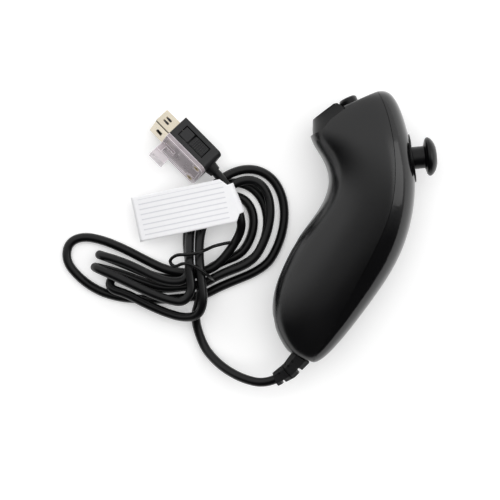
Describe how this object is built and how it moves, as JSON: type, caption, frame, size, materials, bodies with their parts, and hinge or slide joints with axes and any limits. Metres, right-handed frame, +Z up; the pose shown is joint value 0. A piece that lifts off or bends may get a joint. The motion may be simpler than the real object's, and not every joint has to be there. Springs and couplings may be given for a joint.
{
  "type": "one-handed motion game controller",
  "caption": "Curved one-handed game controller with an analogue stick, a round button, a trigger, a strain relief and a tied cord with a two-tone plug.",
  "frame": {"origin": "under the middle of the grip's bounding box, on the surface the controller lies on", "axes": "+Z up out of the surface, +Y along the grip from the cord's end to the nose with the buttons, +X out of the face with the stick"},
  "size_m": [0.1555, 0.1157, 0.0383],
  "materials": {
    "shell_black": "satin",
    "part_black": "satin",
    "inner_grey": "matte",
    "sensor_blue": "matte",
    "steel": "satin",
    "spring_steel": "satin",
    "board_green": "satin",
    "chip_black": "matte",
    "header_white": "matte",
    "dome_rubber": "matte",
    "relief_rubber": "matte",
    "cord_black": "satin",
    "tie_black": "satin",
    "tag_paper": "matte",
    "hood_black": "satin",
    "hood_clear": "clear",
    "plug_metal": "bright",
    "brass": "bright"
  },
  "bodies": {
    "controller": {"front_shell": "shell_black", "rear_shell": "shell_black", "stick_gate": "part_black", "stick_frame": "steel", "yoke_pot": "sensor_blue", "rocker_pot": "sensor_blue", "stick_base": "part_black", "centring_plate": "inner_grey", "centring_spring": "spring_steel", "main_board": "board_green", "board_screws": "steel", "control_chip": "chip_black", "motion_sensor": "chip_black", "cable_header": "header_white", "cable_plug": "header_white", "case_screws": "steel", "trigger_pin": "steel", "z_dome": "dome_rubber", "c_dome": "dome_rubber", "switch_board": "board_green", "button_bracket": "inner_grey", "strain_relief": "relief_rubber", "cable_core": "cord_black", "cord_lead": "cord_black", "cord_hank": "cord_black", "cord_tail": "cord_black", "twist_tie": "tie_black", "blank_tag": "tag_paper", "plug_hood_black": "hood_black", "plug_hood_clear": "hood_clear", "plug_metal_shell": "plug_metal", "plug_contact_carrier": "header_white", "plug_contacts": "brass", "latch_pin_upper": "steel", "latch_pin_lower": "steel", "latch_spring_upper": "spring_steel", "latch_spring_lower": "spring_steel", "plug_boot": "relief_rubber", "plug_screws": "brass"},
    "yoke": {"stick_yoke": "inner_grey", "yoke_pin": "steel"},
    "stick": {"stick_cap": "part_black", "stick_dome": "part_black", "stick_rod": "steel"},
    "rocker": {"rocker_bow": "inner_grey"},
    "trigger": {"z_trigger": "part_black"},
    "button": {"c_button": "part_black"},
    "upper_latch": {"latch_upper": "hood_black"},
    "lower_latch": {"latch_lower": "hood_black"}
  },
  "joints": [
    {"name": "yoke_tilt", "type": "hinge", "parent": "controller", "child": "yoke", "pos_m": [0.0165, 0.0287, 0.01915], "axis": [0, 0, 1], "range_deg": [-12, 12], "stiffness_Nm_per_rad": 0.06},
    {"name": "stick_tilt", "type": "hinge", "parent": "yoke", "child": "stick", "pos_m": [0.0165, 0.0287, 0.01915], "axis": [0, 1, 0], "range_deg": [-12, 12], "stiffness_Nm_per_rad": 0.06},
    {"name": "rocker_tilt", "type": "hinge", "parent": "controller", "child": "rocker", "pos_m": [0.0165, 0.0287, 0.01915], "axis": [0, 1, 0], "range_deg": [-12, 12]},
    {"name": "trigger_press", "type": "hinge", "parent": "controller", "child": "trigger", "pos_m": [0.00017, 0.04817, 0.01915], "axis": [0, 0, 1], "range_deg": [0, 6], "stiffness_Nm_per_rad": 0.12, "deforming": ["z_dome"]},
    {"name": "button_press", "type": "slide", "parent": "controller", "child": "button", "axis": [0.3211, -0.947, 0], "range_m": [0, 0.0011], "stiffness_N_per_m": 900, "deforming": ["c_dome"]},
    {"name": "upper_latch_press", "type": "hinge", "parent": "controller", "child": "upper_latch", "pos_m": [-0.05697, 0.0401, 0.0129], "axis": [-0.7117, -0.5728, 0.4067], "range_deg": [0, 2.5], "stiffness_Nm_per_rad": 0.2, "deforming": ["latch_spring_upper"]},
    {"name": "lower_latch_press", "type": "hinge", "parent": "controller", "child": "lower_latch", "pos_m": [-0.0596, 0.03798, 0.00532], "axis": [0.7117, 0.5728, -0.4067], "range_deg": [0, 2.5], "stiffness_Nm_per_rad": 0.2, "deforming": ["latch_spring_lower"]}
  ],
  "couplings": [
    {"joint": "rocker_tilt", "follows": "stick_tilt", "ratio": 1}
  ]
}
